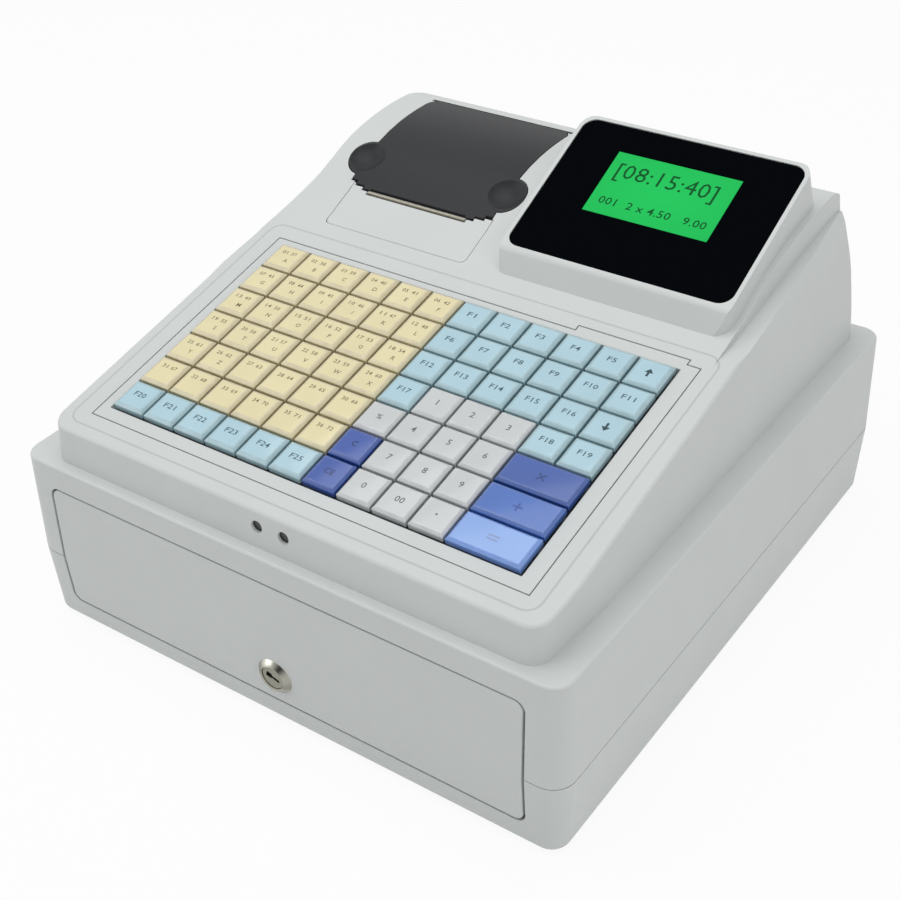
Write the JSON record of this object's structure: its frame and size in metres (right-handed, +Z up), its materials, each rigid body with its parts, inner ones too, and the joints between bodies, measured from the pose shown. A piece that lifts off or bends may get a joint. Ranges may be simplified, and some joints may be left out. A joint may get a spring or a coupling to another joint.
{
  "type": "electronic cash register",
  "caption": "Light grey cash register: sloping keyboard, tilted operator display, receipt printer under a dark lid, on a lockable cash drawer.",
  "frame": {"origin": "on the floor under the feet, at the centre of the footprint", "axes": "+X to the operator's right, +Y to the back of the register (the drawer opens towards -Y), +Z up"},
  "size_m": [0.307, 0.328, 0.205],
  "materials": {
    "shell_abs": "light grey ABS, fine spark texture",
    "pan_abs": "light grey ABS, fine spark texture",
    "dark_abs": "dark grey ABS, satin",
    "rubber": "moulded",
    "zinc_steel": "zinc plated sheet",
    "nickel": "nickel plated, satin",
    "solenoid": "zinc yoke with taped coil",
    "black_plate": "black painted sheet",
    "film": "printed film",
    "board": "solder mask",
    "transformer": "varnished laminations",
    "black_glass": "back printed black window",
    "lcd": "green backlit display",
    "black_trim": "black moulded",
    "paper": "thermal paper",
    "tear_steel": "satin tear edge",
    "key_yellow": "clear cap over a yellow legend card",
    "key_pale_blue": "clear cap over a pale blue legend card",
    "key_white": "clear cap over a white legend card",
    "key_deep_blue": "clear cap over a blue legend card",
    "key_lilac": "clear cap over a light blue legend card"
  },
  "bodies": {
    "register": {"drawer_housing": "shell_abs", "drawer_pan": "pan_abs", "rubber_feet": "rubber", "drawer_rails": "zinc_steel", "eject_spring": "zinc_steel", "latch_solenoid": "solenoid", "top_case": "shell_abs", "register_base": "zinc_steel", "key_bezel": "shell_abs", "key_plate": "black_plate", "key_membrane": "film", "keyboard_pcb": "board", "main_board": "board", "power_supply": "transformer", "display_glass": "black_glass", "lcd_module": "lcd", "front_lenses": "black_trim", "access_panel": "shell_abs", "printer_frame": "dark_abs", "tear_bar": "tear_steel", "power_inlet": "black_trim", "case_screws": "zinc_steel"},
    "drawer": {"drawer_front": "shell_abs", "drawer_box": "zinc_steel", "till_tray": "dark_abs", "lock_barrel": "nickel"},
    "lock": {"lock_plug": "nickel", "lock_cam": "zinc_steel"},
    "clip_l": {"bill_clip_l": "zinc_steel"},
    "clip_m": {"bill_clip_m": "zinc_steel"},
    "clip_r": {"bill_clip_r": "zinc_steel"},
    "plunger": {"latch_plunger": "zinc_steel"},
    "hook": {"latch_hook": "zinc_steel"},
    "cover": {"printer_cover": "dark_abs"},
    "platen": {"platen_roller": "rubber"},
    "roll": {"paper_roll": "paper"},
    "keys_yellow_back": {"keys_yellow_back": "key_yellow"},
    "keys_yellow_mid": {"keys_yellow_mid": "key_yellow"},
    "keys_yellow_front": {"keys_yellow_front": "key_yellow"},
    "keys_blue_row7": {"keys_blue_row7": "key_pale_blue"},
    "keys_fn_back": {"keys_fn_back": "key_pale_blue"},
    "keys_fn_front": {"keys_fn_front": "key_pale_blue"},
    "key_c7_r5": {"key_c7_r5": "key_white"},
    "key_c7_r6": {"key_c7_r6": "key_deep_blue"},
    "key_c7_r7": {"key_c7_r7": "key_deep_blue"},
    "key_1": {"key_1": "key_white"},
    "key_2": {"key_2": "key_white"},
    "key_3": {"key_3": "key_white"},
    "key_4": {"key_4": "key_white"},
    "key_5": {"key_5": "key_white"},
    "key_6": {"key_6": "key_white"},
    "key_7": {"key_7": "key_white"},
    "key_8": {"key_8": "key_white"},
    "key_9": {"key_9": "key_white"},
    "key_0": {"key_0": "key_white"},
    "key_00": {"key_00": "key_white"},
    "key_dot": {"key_dot": "key_white"},
    "key_wide_back": {"key_wide_back": "key_deep_blue"},
    "key_wide_mid": {"key_wide_mid": "key_deep_blue"},
    "key_wide_front": {"key_wide_front": "key_lilac"}
  },
  "joints": [
    {"name": "drawer_slide", "type": "slide", "parent": "register", "child": "drawer", "axis": [0, -1, 0], "range_m": [0, 0.23]},
    {"name": "printer_cover_hinge", "type": "hinge", "parent": "register", "child": "cover", "pos_m": [-0.0628, 0.127, 0.18265], "axis": [-1, 0, 0], "range_deg": [0, 66]},
    {"name": "lock_turn", "type": "hinge", "parent": "drawer", "child": "lock", "pos_m": [0, -0.161, 0.0315], "axis": [0, 1, 0], "range_deg": [0, 90]},
    {"name": "latch_hook_swing", "type": "hinge", "parent": "register", "child": "hook", "pos_m": [0.012, 0.151, 0.023], "axis": [0, 0, 1], "range_deg": [-20, 0]},
    {"name": "latch_plunger_slide", "type": "slide", "parent": "register", "child": "plunger", "axis": [1, 0, 0], "range_m": [-0.0043, 0]},
    {"name": "bill_clip_l_hinge", "type": "hinge", "parent": "drawer", "child": "clip_l", "pos_m": [-0.08167, 0.108, 0.0615], "axis": [-1, 0, 0], "range_deg": [0, 45], "stiffness_Nm_per_rad": 0.02, "springref_deg": -20.05},
    {"name": "bill_clip_m_hinge", "type": "hinge", "parent": "drawer", "child": "clip_m", "pos_m": [0, 0.108, 0.0615], "axis": [-1, 0, 0], "range_deg": [0, 45], "stiffness_Nm_per_rad": 0.02, "springref_deg": -20.05},
    {"name": "bill_clip_r_hinge", "type": "hinge", "parent": "drawer", "child": "clip_r", "pos_m": [0.08167, 0.108, 0.0615], "axis": [-1, 0, 0], "range_deg": [0, 45], "stiffness_Nm_per_rad": 0.02, "springref_deg": -20.05},
    {"name": "paper_roll_spin", "type": "hinge", "parent": "register", "child": "roll", "pos_m": [-0.0628, 0.096, 0.1441], "axis": [1, 0, 0], "continuous": true},
    {"name": "platen_spin", "type": "hinge", "parent": "register", "child": "platen", "pos_m": [-0.0628, 0.055, 0.1585], "axis": [1, 0, 0], "continuous": true},
    {"name": "key_wide_front_press", "type": "slide", "parent": "register", "child": "key_wide_front", "axis": [0, 0.2002, -0.9798], "range_m": [0, 0.0035], "stiffness_N_per_m": 252, "springref_m": -0.0015},
    {"name": "key_wide_mid_press", "type": "slide", "parent": "register", "child": "key_wide_mid", "axis": [0, 0.2002, -0.9798], "range_m": [0, 0.0035], "stiffness_N_per_m": 252, "springref_m": -0.0015},
    {"name": "key_wide_back_press", "type": "slide", "parent": "register", "child": "key_wide_back", "axis": [0, 0.2002, -0.9798], "range_m": [0, 0.0035], "stiffness_N_per_m": 252, "springref_m": -0.0015},
    {"name": "keys_yellow_back_press", "type": "slide", "parent": "register", "child": "keys_yellow_back", "axis": [0, 0.2002, -0.9798], "range_m": [0, 0.0035], "stiffness_N_per_m": 2160, "springref_m": -0.0015},
    {"name": "keys_yellow_mid_press", "type": "slide", "parent": "register", "child": "keys_yellow_mid", "axis": [0, 0.2002, -0.9798], "range_m": [0, 0.0035], "stiffness_N_per_m": 2160, "springref_m": -0.0015},
    {"name": "keys_yellow_front_press", "type": "slide", "parent": "register", "child": "keys_yellow_front", "axis": [0, 0.2002, -0.9798], "range_m": [0, 0.0035], "stiffness_N_per_m": 2160, "springref_m": -0.0015},
    {"name": "keys_blue_row7_press", "type": "slide", "parent": "register", "child": "keys_blue_row7", "axis": [0, 0.2002, -0.9798], "range_m": [0, 0.0035], "stiffness_N_per_m": 1080, "springref_m": -0.0015},
    {"name": "keys_fn_back_press", "type": "slide", "parent": "register", "child": "keys_fn_back", "axis": [0, 0.2002, -0.9798], "range_m": [0, 0.0035], "stiffness_N_per_m": 2160, "springref_m": -0.0015},
    {"name": "keys_fn_front_press", "type": "slide", "parent": "register", "child": "keys_fn_front", "axis": [0, 0.2002, -0.9798], "range_m": [0, 0.0035], "stiffness_N_per_m": 1620, "springref_m": -0.0015},
    {"name": "key_c7_r5_press", "type": "slide", "parent": "register", "child": "key_c7_r5", "axis": [0, 0.2002, -0.9798], "range_m": [0, 0.0035], "stiffness_N_per_m": 180, "springref_m": -0.0015},
    {"name": "key_c7_r6_press", "type": "slide", "parent": "register", "child": "key_c7_r6", "axis": [0, 0.2002, -0.9798], "range_m": [0, 0.0035], "stiffness_N_per_m": 180, "springref_m": -0.0015},
    {"name": "key_c7_r7_press", "type": "slide", "parent": "register", "child": "key_c7_r7", "axis": [0, 0.2002, -0.9798], "range_m": [0, 0.0035], "stiffness_N_per_m": 180, "springref_m": -0.0015},
    {"name": "key_1_press", "type": "slide", "parent": "register", "child": "key_1", "axis": [0, 0.2002, -0.9798], "range_m": [0, 0.0035], "stiffness_N_per_m": 180, "springref_m": -0.0015},
    {"name": "key_2_press", "type": "slide", "parent": "register", "child": "key_2", "axis": [0, 0.2002, -0.9798], "range_m": [0, 0.0035], "stiffness_N_per_m": 180, "springref_m": -0.0015},
    {"name": "key_3_press", "type": "slide", "parent": "register", "child": "key_3", "axis": [0, 0.2002, -0.9798], "range_m": [0, 0.0035], "stiffness_N_per_m": 180, "springref_m": -0.0015},
    {"name": "key_4_press", "type": "slide", "parent": "register", "child": "key_4", "axis": [0, 0.2002, -0.9798], "range_m": [0, 0.0035], "stiffness_N_per_m": 180, "springref_m": -0.0015},
    {"name": "key_5_press", "type": "slide", "parent": "register", "child": "key_5", "axis": [0, 0.2002, -0.9798], "range_m": [0, 0.0035], "stiffness_N_per_m": 180, "springref_m": -0.0015},
    {"name": "key_6_press", "type": "slide", "parent": "register", "child": "key_6", "axis": [0, 0.2002, -0.9798], "range_m": [0, 0.0035], "stiffness_N_per_m": 180, "springref_m": -0.0015},
    {"name": "key_7_press", "type": "slide", "parent": "register", "child": "key_7", "axis": [0, 0.2002, -0.9798], "range_m": [0, 0.0035], "stiffness_N_per_m": 180, "springref_m": -0.0015},
    {"name": "key_8_press", "type": "slide", "parent": "register", "child": "key_8", "axis": [0, 0.2002, -0.9798], "range_m": [0, 0.0035], "stiffness_N_per_m": 180, "springref_m": -0.0015},
    {"name": "key_9_press", "type": "slide", "parent": "register", "child": "key_9", "axis": [0, 0.2002, -0.9798], "range_m": [0, 0.0035], "stiffness_N_per_m": 180, "springref_m": -0.0015},
    {"name": "key_0_press", "type": "slide", "parent": "register", "child": "key_0", "axis": [0, 0.2002, -0.9798], "range_m": [0, 0.0035], "stiffness_N_per_m": 180, "springref_m": -0.0015},
    {"name": "key_00_press", "type": "slide", "parent": "register", "child": "key_00", "axis": [0, 0.2002, -0.9798], "range_m": [0, 0.0035], "stiffness_N_per_m": 180, "springref_m": -0.0015},
    {"name": "key_dot_press", "type": "slide", "parent": "register", "child": "key_dot", "axis": [0, 0.2002, -0.9798], "range_m": [0, 0.0035], "stiffness_N_per_m": 180, "springref_m": -0.0015}
  ],
  "couplings": [
    {"joint": "latch_plunger_slide", "follows": "latch_hook_swing", "m_per_rad": 0.0123},
    {"joint": "platen_spin", "follows": "paper_roll_spin", "ratio": 6}
  ]
}
